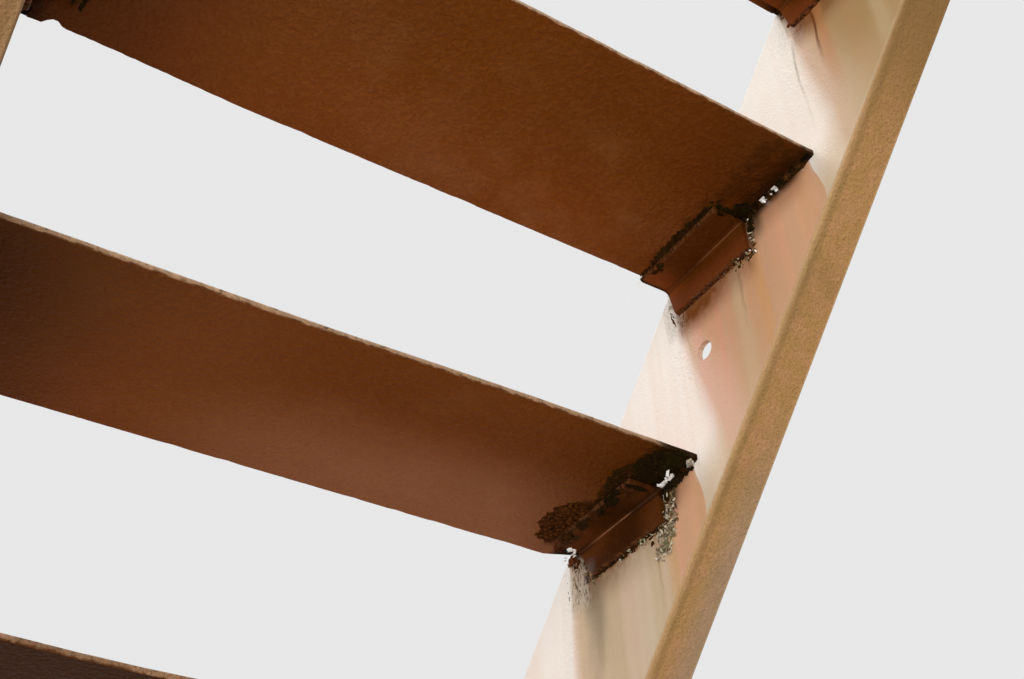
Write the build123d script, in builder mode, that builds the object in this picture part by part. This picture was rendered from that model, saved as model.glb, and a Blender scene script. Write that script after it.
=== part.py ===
# Open-riser steel stair flight: flat plate treads on short angle cleats,
# carried between two channel stringers whose toes point outwards.
# Z is up and the flight climbs towards +Y. The origin is on the floor, on
# the centre line, straight below the front edge of the first tread.

import os
from math import atan2, cos, sin, tan

from build123d import *

os.makedirs("parts", exist_ok=True)

# Flight
TREAD_COUNT = 9
RISE = 216.0
GOING = 220.0
CLEAR_WIDTH = 680.0

# Tread plates
TREAD_DEPTH = 219.0
TREAD_PLATE = 6.0
TREAD_END_GAP = 5.5

# Stringer channels
CHANNEL_DEPTH = 203.0
CHANNEL_FLANGE = 49.0
CHANNEL_WEB = 5.6
FLANGE_MEAN = 8.0
FLANGE_TAPER = 1 / 6
CHANNEL_ROOT_RADIUS = 8.0
CHANNEL_TOE_RADIUS = 4.0
CHANNEL_HEEL_RADIUS = 2.5
CHANNEL_TIP_RADIUS = 0.8
NOSING_PROUD = 1.0
FOOT_TOE_LENGTH = 160.0

# Spare bolt hole in each web, on the web's centre line
WEB_HOLE_RADIUS = 10.3
WEB_HOLE_TREAD = 7
WEB_HOLE_DOWN_SLOPE = 55.5

# Angle cleats under the tread ends, cut from offcuts and set by eye. How far
# each starts behind its tread's front edge, its length, and how far its front
# end is cropped back at the foot of its upright leg: the three values of each
# repeat up the flight.
CLEAT_LEG = 40.0
CLEAT_THICKNESS = 5.0
CLEAT_ROOT_RADIUS = 6.0
CLEAT_TOE_RADIUS = 3.0
CLEAT_HEEL_RADIUS = 0.8
CLEAT_SETBACKS_LEFT = (24.0, -4.0, 9.0)
CLEAT_LENGTHS_LEFT = (138.0, 121.0, 130.0)
CLEAT_CROPS_LEFT = (21.0, 8.0, 8.0)
CLEAT_SETBACKS_RIGHT = (6.0, 30.0, 14.0)
CLEAT_LENGTHS_RIGHT = (132.0, 124.0, 136.0)
CLEAT_CROPS_RIGHT = (5.0, 9.0, 14.0)

# Sole angle between the stringers at the floor
SOLE_LEG = 75.0
SOLE_THICKNESS = 8.0
SOLE_ROOT_RADIUS = 8.0
SOLE_TOE_RADIUS = 4.0
SOLE_GAUGE = 44.0
ANCHOR_HOLE_RADIUS = 9.0
ANCHOR_INSET = 90.0

# Clip angles that bolt the stringer heads to the landing
CLIP_LEG = 65.0
CLIP_THICKNESS = 8.0
CLIP_ROOT_RADIUS = 7.0
CLIP_TOE_RADIUS = 4.0
CLIP_LENGTH = 150.0
CLIP_GAUGE = 38.0
CLIP_HOLE_RADIUS = 9.0
CLIP_HOLE_SPACING = 80.0

# Worked out from the sizes above
SLOPE = atan2(RISE, GOING)
WEB_FACE_X = CLEAR_WIDTH / 2
HEAD_Y = TREAD_COUNT * GOING
PLUMB_DEPTH = CHANNEL_DEPTH / cos(SLOPE)
BLANK_BELOW = (FOOT_TOE_LENGTH + PLUMB_DEPTH) / cos(SLOPE)
BLANK_ABOVE = (HEAD_Y + PLUMB_DEPTH) / cos(SLOPE)


def tread_front(step):
    """Distance along Y of a tread's front edge."""
    return (step - 1) * GOING


def tread_underside(step):
    """Height of a tread's underside."""
    return step * RISE - TREAD_PLATE


def tread_top(step):
    """Height of a tread's top face."""
    return step * RISE


def web_centre_height(y):
    """Height of the web's centre line above the point y."""
    nosing = tread_top(1) + y * tan(SLOPE)
    return nosing - NOSING_PROUD / cos(SLOPE) - PLUMB_DEPTH / 2


def save(solid, name):
    """Label a finished piece and write it to its own file."""
    solid.label = name
    export_step(solid, f"parts/{name}.step")


def channel_points():
    """Outline of the channel: x outwards from the web's back, y down its depth."""
    half_reach = FLANGE_TAPER * (CHANNEL_FLANGE - CHANNEL_WEB) / 2
    toe = FLANGE_MEAN - half_reach
    root = FLANGE_MEAN + half_reach
    return [
        (0, 0),
        (CHANNEL_FLANGE, 0),
        (CHANNEL_FLANGE, toe),
        (CHANNEL_WEB, root),
        (CHANNEL_WEB, CHANNEL_DEPTH - root),
        (CHANNEL_FLANGE, CHANNEL_DEPTH - toe),
        (CHANNEL_FLANGE, CHANNEL_DEPTH),
        (0, CHANNEL_DEPTH),
    ]


CHANNEL_RADII = [
    CHANNEL_HEEL_RADIUS,
    CHANNEL_TIP_RADIUS,
    CHANNEL_TOE_RADIUS,
    CHANNEL_ROOT_RADIUS,
    CHANNEL_ROOT_RADIUS,
    CHANNEL_TOE_RADIUS,
    CHANNEL_TIP_RADIUS,
    CHANNEL_HEEL_RADIUS,
]


def angle_points(leg, thickness):
    """Outline of an equal angle with its heel at the origin."""
    return [(0, 0), (leg, 0), (leg, thickness), (thickness, thickness), (thickness, leg), (0, leg)]


def angle_radii(heel, toe, root):
    """Corner radii that go with angle_points."""
    return [heel, 0, toe, root, toe, 0]


# Stringers: the channel's back faces the treads, its foot is cut level on the
# floor and plumb at the toe, and its head is cut plumb against the landing.
up_slope = Vector(0, cos(SLOPE), sin(SLOPE))
into_slope = Vector(0, sin(SLOPE), -cos(SLOPE))
nosing_start = Vector(WEB_FACE_X, tread_front(1), tread_top(1))
channel_plane = Plane(
    origin=nosing_start + into_slope * NOSING_PROUD - up_slope * BLANK_BELOW,
    x_dir=(1, 0, 0),
    z_dir=up_slope,
)
web_hole_y = tread_front(WEB_HOLE_TREAD) - WEB_HOLE_DOWN_SLOPE * cos(SLOPE)
web_hole_y += (NOSING_PROUD + CHANNEL_DEPTH / 2) * sin(SLOPE)

with BuildPart() as stringer_right:
    with BuildSketch(channel_plane):
        with BuildLine():
            FilletPolyline(*channel_points(), radius=CHANNEL_RADII, close=True)
        make_face()
    extrude(amount=BLANK_BELOW + BLANK_ABOVE)
    split(bisect_by=Plane.XY, keep=Keep.TOP)
    split(bisect_by=Plane.XZ.offset(FOOT_TOE_LENGTH), keep=Keep.BOTTOM)
    split(bisect_by=Plane.XZ.offset(-HEAD_Y), keep=Keep.TOP)
    with BuildSketch(Plane.YZ.offset(WEB_FACE_X)):
        with Locations((web_hole_y, web_centre_height(web_hole_y))):
            Circle(WEB_HOLE_RADIUS)
    extrude(amount=CHANNEL_WEB, mode=Mode.SUBTRACT)
save(stringer_right.part, "stringer_right")

with BuildPart() as stringer_left:
    mirror(stringer_right.part, about=Plane.YZ)
save(stringer_left.part, "stringer_left")

# Treads: flat plates laid on the cleats, with their front edges at the nosing
# line.
for step in range(1, TREAD_COUNT + 1):
    with BuildPart() as tread:
        with BuildSketch(Plane.XY.offset(tread_underside(step))):
            with Locations((0, tread_front(step) + TREAD_DEPTH / 2)):
                Rectangle(CLEAR_WIDTH - 2 * TREAD_END_GAP, TREAD_DEPTH)
        extrude(amount=TREAD_PLATE)
    save(tread.part, f"tread_{step}")

# Cleats: one leg flat under the tread, the other welded flat to the web. All
# are drawn against the right web, and the left ones are then mirrored.
CLEATS_BY_SIDE = {
    "left": (CLEAT_SETBACKS_LEFT, CLEAT_LENGTHS_LEFT, CLEAT_CROPS_LEFT),
    "right": (CLEAT_SETBACKS_RIGHT, CLEAT_LENGTHS_RIGHT, CLEAT_CROPS_RIGHT),
}
for side, values in CLEATS_BY_SIDE.items():
    for step in range(1, TREAD_COUNT + 1):
        setback, length, crop = [by_step[step % len(by_step)] for by_step in values]
        cleat_heel = Vector(WEB_FACE_X, tread_front(step) + setback, tread_underside(step))
        with BuildPart() as cleat:
            with BuildSketch(Plane(origin=cleat_heel, x_dir=(-1, 0, 0), z_dir=(0, 1, 0))):
                with BuildLine():
                    FilletPolyline(
                        *[(x, -y) for x, y in angle_points(CLEAT_LEG, CLEAT_THICKNESS)],
                        radius=angle_radii(CLEAT_HEEL_RADIUS, CLEAT_TOE_RADIUS, CLEAT_ROOT_RADIUS),
                        close=True,
                    )
                make_face()
            extrude(amount=length)
            split(bisect_by=Plane(origin=cleat_heel, x_dir=(1, 0, 0), z_dir=(0, CLEAT_LEG, crop)), keep=Keep.TOP)
            if side == "left":
                mirror(about=Plane.YZ, mode=Mode.REPLACE)
        save(cleat.part, f"cleat_{side}_{step}")

# Sole angle: spans between the webs with one leg on the floor, anchored down
# through two holes.
with BuildPart() as sole_angle:
    with BuildSketch(Plane.YZ.offset(-WEB_FACE_X)):
        with BuildLine():
            FilletPolyline(
                *[(SOLE_LEG / 2 - y, z) for y, z in angle_points(SOLE_LEG, SOLE_THICKNESS)],
                radius=angle_radii(0, SOLE_TOE_RADIUS, SOLE_ROOT_RADIUS),
                close=True,
            )
        make_face()
    extrude(amount=CLEAR_WIDTH)
    with BuildSketch(Plane.XY):
        with Locations((0, SOLE_LEG / 2 - SOLE_GAUGE)):
            with GridLocations(CLEAR_WIDTH - 2 * ANCHOR_INSET, 0, 2, 1):
                Circle(ANCHOR_HOLE_RADIUS)
    extrude(amount=SOLE_THICKNESS, mode=Mode.SUBTRACT)
save(sole_angle.part, "sole_angle")

# Head clips: upright angles in the channels' troughs, one leg welded to the
# web and the other flush with the plumb cut, bolted to the landing.
clip_centre_height = web_centre_height(HEAD_Y - CLIP_LEG / 2)
clip_plane = Plane(
    origin=(WEB_FACE_X + CHANNEL_WEB, HEAD_Y, clip_centre_height - CLIP_LENGTH / 2),
    x_dir=(1, 0, 0),
    z_dir=(0, 0, 1),
)
with BuildPart() as head_clip_right:
    with BuildSketch(clip_plane):
        with BuildLine():
            FilletPolyline(
                *[(x, -y) for x, y in angle_points(CLIP_LEG, CLIP_THICKNESS)],
                radius=angle_radii(0, CLIP_TOE_RADIUS, CLIP_ROOT_RADIUS),
                close=True,
            )
        make_face()
    extrude(amount=CLIP_LENGTH)
    with BuildSketch(Plane.XZ.offset(-HEAD_Y)):
        with Locations((WEB_FACE_X + CHANNEL_WEB + CLIP_GAUGE, clip_centre_height)):
            with GridLocations(0, CLIP_HOLE_SPACING, 1, 2):
                Circle(CLIP_HOLE_RADIUS)
    extrude(amount=CLIP_THICKNESS, mode=Mode.SUBTRACT)
save(head_clip_right.part, "head_clip_right")

with BuildPart() as head_clip_left:
    mirror(head_clip_right.part, about=Plane.YZ)
save(head_clip_left.part, "head_clip_left")
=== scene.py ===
# Painted steel stair flight, weathered, seen from behind and below.

import math
import random

import bmesh
import bpy
from mathutils import Matrix, Quaternion, Vector, noise


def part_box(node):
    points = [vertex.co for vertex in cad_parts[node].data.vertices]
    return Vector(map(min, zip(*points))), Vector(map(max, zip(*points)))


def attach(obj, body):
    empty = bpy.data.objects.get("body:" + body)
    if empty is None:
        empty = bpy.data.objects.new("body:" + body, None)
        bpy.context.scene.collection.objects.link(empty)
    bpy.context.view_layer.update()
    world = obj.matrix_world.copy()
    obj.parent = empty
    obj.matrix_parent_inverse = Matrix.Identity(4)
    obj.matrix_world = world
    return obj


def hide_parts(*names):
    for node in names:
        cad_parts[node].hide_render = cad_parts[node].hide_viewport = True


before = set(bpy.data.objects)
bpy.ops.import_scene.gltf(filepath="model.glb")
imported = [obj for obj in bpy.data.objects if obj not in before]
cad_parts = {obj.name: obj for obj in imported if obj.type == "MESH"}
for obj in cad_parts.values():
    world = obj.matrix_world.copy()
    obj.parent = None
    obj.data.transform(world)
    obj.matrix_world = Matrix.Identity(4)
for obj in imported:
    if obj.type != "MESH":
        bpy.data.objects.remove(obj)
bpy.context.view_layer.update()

# Stringers. Two rolled steel channels stand on edge, backs to the treads. Each
# is cut level at the floor and plumb at the landing. Their salmon paint has
# bleached where rain reaches it, and is streaked below every tread. Its colour
# also holds painted sunlight above each tread and painted shade under it.
STEPS = sum(name.startswith("tread_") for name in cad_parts)
FIRST_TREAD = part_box("tread_1")
SECOND_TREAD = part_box("tread_2")
GOING = SECOND_TREAD[0].y - FIRST_TREAD[0].y
RISE = SECOND_TREAD[0].z - FIRST_TREAD[0].z
PLATE = FIRST_TREAD[1].z - FIRST_TREAD[0].z
SLOPE = math.atan2(RISE, GOING)
WEB_FACE = -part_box("cleat_left_1")[0].x
CLEAT_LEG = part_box("cleat_left_1")[1].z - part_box("cleat_left_1")[0].z
CHANNEL_DEPTH = 0.203
NOSING_PROUD = 0.001
# How badly each tread's cleats have rusted, from the first tread up, 0 to 1.
CLEAT_RUST = {
    "left": (0.35, 0.55, 0.3, 0.7, 0.45, 1.0, 0.6, 0.3, 0.5),
    "right": (0.5, 0.3, 0.6, 0.35, 0.8, 0.45, 0.3, 0.65, 0.4),
}


def cleat_span(side, step):
    """Where a cleat starts and ends, in metres behind its tread's front edge."""
    low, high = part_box(f"cleat_{side}_{step}")
    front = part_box(f"tread_{step}")[0].y
    return low.y - front, high.y - front


def srgb(red, green, blue):
    """A colour as it is seen, 0 to 255 a channel, in linear light."""
    shares = [channel / 255 for channel in (red, green, blue)]
    linear = [s / 12.92 if s < 0.04045 else ((s + 0.055) / 1.055) ** 2.4 for s in shares]
    return (*linear, 1.0)


def feed(socket, value):
    """Link a socket to a field, or set it to a plain value."""
    if isinstance(value, Field):
        socket.id_data.links.new(value.socket, socket)
    else:
        socket.default_value = value


def new_node(field, kind):
    """A node of one kind in the finish that a field belongs to."""
    return field.socket.id_data.nodes.new(kind)


def worked(operation, *values):
    """One Math node on the values, in order."""
    node = new_node(next(value for value in values if isinstance(value, Field)), "ShaderNodeMath")
    node.operation = operation
    for socket, value in zip(node.inputs, values):
        feed(socket, value)
    return Field(node.outputs["Value"])


class Field:
    """A value or colour that changes from point to point of a finish, for plain sums."""

    def __init__(self, socket):
        self.socket = socket

    def __add__(self, other):
        return worked("ADD", self, other)

    def __sub__(self, other):
        return worked("SUBTRACT", self, other)

    def __rsub__(self, other):
        return worked("SUBTRACT", other, self)

    def __mul__(self, other):
        return worked("MULTIPLY", self, other)

    def __truediv__(self, other):
        return worked("DIVIDE", self, other)

    def __mod__(self, other):
        return worked("MODULO", self, other)

    def __gt__(self, other):
        return worked("GREATER_THAN", self, other)

    def __neg__(self):
        return worked("MULTIPLY", self, -1.0)

    def __abs__(self):
        return worked("ABSOLUTE", self)


def larger(one, other):
    """The larger of the two at each point."""
    return worked("MAXIMUM", one, other)


def smaller(one, other):
    """The smaller of the two at each point."""
    return worked("MINIMUM", one, other)


def step_at(distance):
    """The number of the tread whose going a distance up the flight lies in."""
    return worked("FLOOR", distance / GOING) + 1.0


def split(place):
    """The x, y and z of a place or direction."""
    node = new_node(place, "ShaderNodeSeparateXYZ")
    feed(node.inputs["Vector"], place)
    return [Field(node.outputs[axis]) for axis in "XYZ"]


def rise_between(value, low, high):
    """0 below low and 1 above high, with a smooth rise between them."""
    node = new_node(value, "ShaderNodeMapRange")
    node.interpolation_type = "SMOOTHSTEP"
    feed(node.inputs["Value"], value)
    feed(node.inputs["From Min"], low)
    feed(node.inputs["From Max"], high)
    return Field(node.outputs["Result"])


def fade_between(value, low, high):
    """1 below low and 0 above high, with a smooth fall between them."""
    return 1.0 - rise_between(value, low, high)


def band(position, centre, core, edge):
    """1 within core of a line, falling to 0 at edge."""
    return fade_between(abs(position - centre), core, edge)


def coat(share, under, over):
    """The colour under, covered by the colour over where share is 1."""
    node = new_node(share, "ShaderNodeMix")
    node.data_type = "RGBA"
    feed(node.inputs["Factor"], share)
    feed(node.inputs["A"], under)
    feed(node.inputs["B"], over)
    return Field(node.outputs["Result"])


def stretch(place, scale):
    """The place with each axis scaled, for patterns that are longer one way."""
    node = new_node(place, "ShaderNodeMapping")
    feed(node.inputs["Vector"], place)
    node.inputs["Scale"].default_value = scale
    return Field(node.outputs["Vector"])


def mottle(place, scale, detail=3.0, roughness=0.55):
    """Cloudy noise, 0 to 1, with so many clouds to the metre."""
    node = new_node(place, "ShaderNodeTexNoise")
    feed(node.inputs["Vector"], place)
    node.inputs["Scale"].default_value = scale
    node.inputs["Detail"].default_value = detail
    node.inputs["Roughness"].default_value = roughness
    return Field(node.outputs["Fac"])


def emboss(height, strength, distance, under=None):
    """A bump from a height pattern, on top of another bump if there is one."""
    node = new_node(height, "ShaderNodeBump")
    feed(node.inputs["Height"], height)
    node.inputs["Strength"].default_value = strength
    node.inputs["Distance"].default_value = distance
    if under is not None:
        feed(node.inputs["Normal"], under)
    return Field(node.outputs["Normal"])


def finish_named(name):
    """A new material: itself, its shader and the place in the piece."""
    material = bpy.data.materials.new(name)
    material.use_nodes = True
    nodes = material.node_tree.nodes
    return material, nodes["Principled BSDF"], Field(nodes.new("ShaderNodeTexCoord").outputs["Object"])


def by_step(step, values):
    """Pick one value, 0 to 1, for each tread from its step number, 1 for the first."""
    node = new_node(step, "ShaderNodeValToRGB")
    node.color_ramp.interpolation = "CONSTANT"
    stops = node.color_ramp.elements
    while len(stops) < len(values):
        stops.new(1.0)
    for number, (stop, value) in enumerate(zip(stops, values)):
        stop.position = number / len(values)
        stop.color = (value, value, value, 1.0)
    feed(node.inputs["Fac"], (step - 0.5) / len(values))
    return Field(node.outputs["Color"])


def by_cleat(x, step, values):
    """Pick one value for each cleat from its side and step, from under -0.1 to 0.9."""
    left, right = [by_step(step, [value + 0.1 for value in values[side]]) for side in CLEAT_RUST]
    return (x > 0.0) * (right - left) + left - 0.1


# How far the bleached paint, with its painted sunlight, spills back under
# each tread, from the first up.
LIGHT_SPILL = (0.8, 1.0, 0.5, 0.9, 0.6, 0.12, 0.68, 0.55, 0.7)
# How far each tread's column of web starts in front of its front edge: where
# the web is open above the tread before, close under that tread, and lower.
OPEN_EARLY = 0.024
SHADED_EARLY = 0.013
LOW_EARLY = 0.004
# How much rusty water has run from the leg of each tread's cleat.
GUSH = (0.3, 0.0, 0.5, 0.0, 0.4, 0.0, 0.0, 1.0, 0.3)
# Where up the flight the paint starts to yellow and where it is yellowest, and
# the same for the bleached paint's dulling, the flange's dulling and its lime.
YELLOW_FROM = 6.85 * GOING
YELLOW_TO = 7.35 * GOING
CHALK_DULL_FROM = 6.5 * RISE
CHALK_DULL_TO = 7.3 * RISE
FLANGE_DULL_FROM = 7.10 * GOING
FLANGE_DULL_TO = 7.65 * GOING
FLANGE_LIME_FROM = 5.85 * GOING
FLANGE_LIME_TO = 6.5 * GOING


def weathered_salmon():
    """The stringers' paint, with bleaching, painted sunlight and shade, streaks and rust set out from
    the treads.
    """
    material, shader, place = finish_named("stringer_salmon")
    x, y, z = split(place)
    out = abs(x)

    # Where each point lies in its tread's column: how far behind the tread's
    # front edge, and how far above the tread's top face. A column starts a
    # little early, so that its shade can fade out in front.
    wander = mottle(stretch(place, (1, 1, 0.4)), 24) * 0.012 - 0.006
    drift = y + wander - 0.004
    lift = z - step_at(drift) * RISE
    clear_above = lift > -PLATE
    shaded_early = rise_between(lift, -PLATE - 0.05, -PLATE) * (SHADED_EARLY - LOW_EARLY) + LOW_EARLY
    early = larger(clear_above * OPEN_EARLY, shaded_early)
    step = step_at(drift + early)
    behind = drift - (step - 1.0) * GOING
    above = z - step * RISE
    below = -PLATE - above

    # Soft bands where water has run straight down the web, clouds and grain.
    bands = mottle(stretch(place, (1, 46, 1.3)), 1.0, 2.0, 0.5)
    washes = mottle(stretch(place, (30, 34, 1.8)), 1.0, 2.0, 0.5)
    clouds = mottle(place, 11.0, 4.0, 0.6)
    peel = mottle(place, 260.0, 2.0, 0.5)
    grain = mottle(place, 520.0, 2.0)
    sway = mottle(stretch(place, (1, 3, 17)), 1.0, 2.0) * 0.022 - 0.011
    swaying = behind + sway

    salmon = coat(rise_between(bands, 0.38, 0.62), srgb(215, 155, 123), srgb(208, 158, 121))
    salmon = coat(rise_between(behind, 0.10, 0.18) * 0.9, salmon, srgb(231, 174, 135))
    ochre = rise_between(washes, 0.46, 0.76) * 0.45
    salmon = coat(ochre, salmon, srgb(206, 164, 112))
    green = fade_between(washes, 0.24, 0.48) * 0.35
    salmon = coat(green, salmon, srgb(190, 168, 134))
    rose = rise_between(clouds, 0.40, 0.75) * 0.35
    salmon = coat(rose, salmon, srgb(222, 166, 142))
    yellowed = rise_between(y, YELLOW_FROM, YELLOW_TO)
    salmon = coat(yellowed * 0.62, salmon, srgb(152, 134, 76))

    # Rain and sun reach the web above each tread, back to the next one's front,
    # and have bleached it; its near-white there is also painted sunlight. That
    # painted light spills past the line like a soft shadow edge, further the
    # lower it gets.
    sunlit_chalk = coat(rise_between(bands, 0.35, 0.65), srgb(252, 246, 238), srgb(249, 238, 226))
    dulled = rise_between(z, CHALK_DULL_FROM, CHALK_DULL_TO)
    sunlit_chalk = coat(dulled * 0.65, sunlit_chalk, srgb(226, 218, 206))
    open_sky = rise_between(above, -PLATE - 0.0006, -PLATE + 0.0002)
    held = dulled * 0.014 - 0.018
    reach = larger(below * 0.29 + held, 0.0)
    reach = smaller(reach, 0.048) * by_step(step, LIGHT_SPILL)
    soft = below * 0.095 + 0.003
    light_spill = fade_between(behind, reach - soft, reach + soft)
    tail = fade_between(behind, reach, below * 0.36 + reach + 0.004)
    light_spill = larger(light_spill * 0.97, tail * 0.20)
    next_front = rise_between(behind, GOING - 0.0155, GOING - 0.0120) * 0.45
    light_spill = larger(light_spill, next_front * fade_between(below, 0.0, 0.03))
    bleached_and_sunlit = larger(open_sky, light_spill)
    paint = coat(bleached_and_sunlit, salmon, sunlit_chalk)
    across = y * math.sin(SLOPE) - z * math.cos(SLOPE)
    face = -RISE * math.cos(SLOPE) + NOSING_PROUD + CHANNEL_DEPTH
    low_edge = rise_between(across, face - 0.055, face - 0.008) * (bleached_and_sunlit * 0.5 + 0.2)
    paint = coat(low_edge, paint, srgb(204, 174, 130))

    # Dirt and painted shade close under each tread, and a thin drip line behind its front corner.
    sheltered = (1.0 - open_sky) * rise_between(behind, -0.006, 0.002)
    inner = fade_between(behind, 0.180, 0.208)
    contact_shade = fade_between(below, 0.002, 0.015) * 0.95 * inner
    soot_and_shade = fade_between(below, 0.004, 0.046) * (clouds * 0.7 + 0.32)
    soot_and_shade = soot_and_shade * (inner * 0.75 + 0.25)
    paint = coat(soot_and_shade * sheltered, paint, srgb(128, 82, 46))
    paint = coat(contact_shade * sheltered, paint, srgb(58, 31, 6))
    line_at = 0.010 - dulled * 0.007
    line = band(swaying, line_at, 0.0003, 0.0028) * fade_between(below, 0.09, 0.20)
    line = line * rise_between(clouds, 0.30, 0.52) * (dulled * 0.54 + 0.08)
    paint = coat(line, paint, srgb(146, 130, 100))

    # Stains from the cleats: brown close under the leg, which is also the leg's
    # painted shadow, an ochre and a green wash below its far end, and one or two
    # thin drips.
    spans = {side: [cleat_span(side, n) for n in range(1, STEPS + 1)] for side in CLEAT_RUST}
    start = by_cleat(x, step, {side: [span[0] for span in spans[side]] for side in spans})
    end = by_cleat(x, step, {side: [span[1] for span in spans[side]] for side in spans})
    rusted = by_cleat(x, step, CLEAT_RUST)
    from_start = behind - start
    from_end = behind - end
    swaying_end = swaying - end
    swaying_start = swaying - start
    under_leg = below - CLEAT_LEG
    beside = larger(-from_start, from_end)
    off_leg = larger(larger(beside, under_leg), 0.0)
    rough = mottle(place, 85.0, 4.0, 0.6)
    falls = rise_between(under_leg, -0.02, 0.004) * fade_between(under_leg, 0.05, 0.26)
    # Lime and old rain marks have greyed the web below the worst cleats.
    limed = rise_between(under_leg, -0.022, 0.006) * fade_between(from_end, -0.004, 0.012)
    limed = limed * rise_between(rusted, 0.55, 1.0) * (washes * 0.5 + 0.6)
    limed = limed * (1.0 - bleached_and_sunlit * 0.95)
    lime_scale = coat(rise_between(bands, 0.36, 0.62), srgb(220, 200, 172), srgb(208, 188, 154))
    paint = coat(limed, paint, lime_scale)
    grey_patch = band(swaying_start, 0.009, 0.005, 0.026) * rise_between(under_leg, -0.01, 0.01)
    worst = rise_between(rusted, 0.60, 1.0)
    grey_patch = grey_patch * fade_between(under_leg, 0.03, 0.13) * worst * 0.8
    paint = coat(grey_patch, paint, srgb(156, 141, 116))
    wash = band(from_end, -0.001, 0.002, 0.011) * falls * 0.52
    paint = coat(wash, paint, srgb(214, 160, 98))
    moss = band(from_end, -0.029, 0.003, 0.014) * falls * 0.5
    paint = coat(moss, paint, srgb(204, 184, 146))
    near_front = fade_between(from_start, 0.03, 0.10) * 0.6 + 0.5
    near_front = near_front * (1.0 - dulled * 0.35)
    # Brown rust seep under the leg, with the leg's painted shadow.
    seep_and_shadow = fade_between(under_leg, 0.004, 0.046) * rise_between(under_leg, -0.008, -0.001)
    seep_and_shadow = seep_and_shadow * fade_between(beside, -0.006, 0.006) * (rough * 0.9 + 0.65) * near_front
    seep_and_shadow = seep_and_shadow * (1.1 - worst * 0.55)
    paint = coat(seep_and_shadow, paint, coat(worst, srgb(118, 69, 34), srgb(112, 78, 44)))
    drip = band(swaying_end, -0.024, 0.0003, 0.0034) * fade_between(under_leg, 0.01, 0.10) * 0.42
    blot = band(swaying_end, -0.008, 0.0005, 0.0036) * fade_between(under_leg, 0.01, 0.03) * 0.55
    trail = band(swaying_start, 0.012, 0.001, 0.0120) * fade_between(under_leg, 0.05, 0.22)
    trail = trail * 0.34 * worst
    wet = rise_between(under_leg, -0.004, 0.002)
    paint = coat(trail * wet, paint, srgb(140, 114, 84))
    gush = by_step(step, GUSH) * wet
    streak = band(swaying, 0.0445, 0.002, 0.012) * fade_between(below, 0.10, 0.20) * gush * 0.6
    paint = coat(streak, paint, srgb(184, 126, 76))
    spout = band(swaying, 0.0365, 0.0003, 0.0032) * fade_between(below, 0.070, 0.13) * gush * 0.9
    paint = coat(spout, paint, srgb(106, 54, 14))
    drips = larger(drip, blot) * wet
    rust_water = coat(rise_between(rusted, 0.7, 1.0), srgb(128, 96, 62), srgb(158, 112, 84))
    paint = coat(drips, paint, rust_water)
    # Wet grime and painted shade lie in the corner behind each cleat's far end.
    corner = band(from_end, 0.006, 0.005, 0.018) * fade_between(below, 0.014, 0.044) * sheltered
    paint = coat(corner * (rusted * 0.5 + 0.4), paint, srgb(38, 27, 4))
    ragged = 0.0075 - rough * 0.020
    stain = fade_between(off_leg + ragged, -0.002, 0.007) * sheltered * rusted * 0.75
    paint = coat(stain, paint, srgb(140, 96, 62))
    rim = fade_between(off_leg + ragged, -0.0030, -0.0004) * sheltered * rusted

    # Old paint has wrinkled and greyed on the web beside each cleat's front end.
    low_down = rise_between(under_leg, -0.040, -0.026) * fade_between(under_leg, 0.010, 0.034)
    up_front = band(from_start, -0.003 - worst * 0.009, 0.010, 0.021)
    wrinkled = low_down * up_front * (rusted * 0.9 - 0.05)
    folds = mottle(stretch(place, (1, 420, 130)), 1.0, 3.0, 0.6)
    grey = coat(rise_between(folds, 0.39, 0.53), srgb(86, 68, 50), srgb(192, 182, 164))
    paint = coat(wrinkled * 0.8, paint, grey)
    paint = coat(rim, paint, srgb(66, 38, 16))

    # Outside, no tread shelters the web, and it has weathered evenly. So has the
    # sole angle, low down between the webs.
    outer = rise_between(out, WEB_FACE + 0.0014, WEB_FACE + 0.0032)
    between = fade_between(out, WEB_FACE - 0.0016, WEB_FACE - 0.0006)
    outer = larger(outer, between * fade_between(z, 0.08, 0.10))
    plain = coat(rise_between(clouds, 0.34, 0.66), srgb(224, 186, 158), srgb(216, 172, 142))
    plain = coat(rise_between(washes, 0.44, 0.70) * 0.25, plain, srgb(238, 220, 200))
    plain = coat(fade_between(rough, 0.30, 0.36) * 0.4, plain, srgb(142, 92, 58))
    paint = coat(outer, paint, plain)

    # The flange that faces down and back: rougher, tan blotched with salmon,
    # with a smooth pale heel, worn paint and a painted highlight along the rounded
    # ridge, and a worn outer edge.
    soffit = rise_between(across, face - 0.0024, face - 0.0006)
    blotches = mottle(place, 62.0, 3.0, 0.55)
    tan = coat(rise_between(blotches, 0.42, 0.60), srgb(184, 138, 80), srgb(193, 141, 91))
    tan = coat(fade_between(clouds, 0.34, 0.5) * 0.4, tan, srgb(156, 116, 66))
    tan = coat(fade_between(grain, 0.36, 0.50) * 0.35, tan, srgb(128, 90, 48))
    tan = coat(rise_between(peel, 0.52, 0.68) * 0.25, tan, srgb(202, 156, 104))
    from_heel = out - WEB_FACE
    tan = coat(band(from_heel, 0.0085, 0.001, 0.005) * 0.4, tan, srgb(136, 108, 60))
    tan = coat(fade_between(from_heel, 0.003, 0.0065) * 0.5, tan, srgb(196, 160, 114))
    tan = coat(rise_between(from_heel, 0.0462, 0.0484) * 0.7, tan, srgb(214, 178, 132))
    tan = coat(rise_between(y, FLANGE_DULL_FROM, FLANGE_DULL_TO) * 0.8, tan, srgb(138, 100, 48))
    lime = rise_between(from_heel, 0.010, 0.044) * fade_between(y, FLANGE_LIME_FROM, FLANGE_LIME_TO)
    tan = coat(lime * 0.42, tan, srgb(158, 142, 128))
    paint = coat(soffit, paint, tan)
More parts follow.
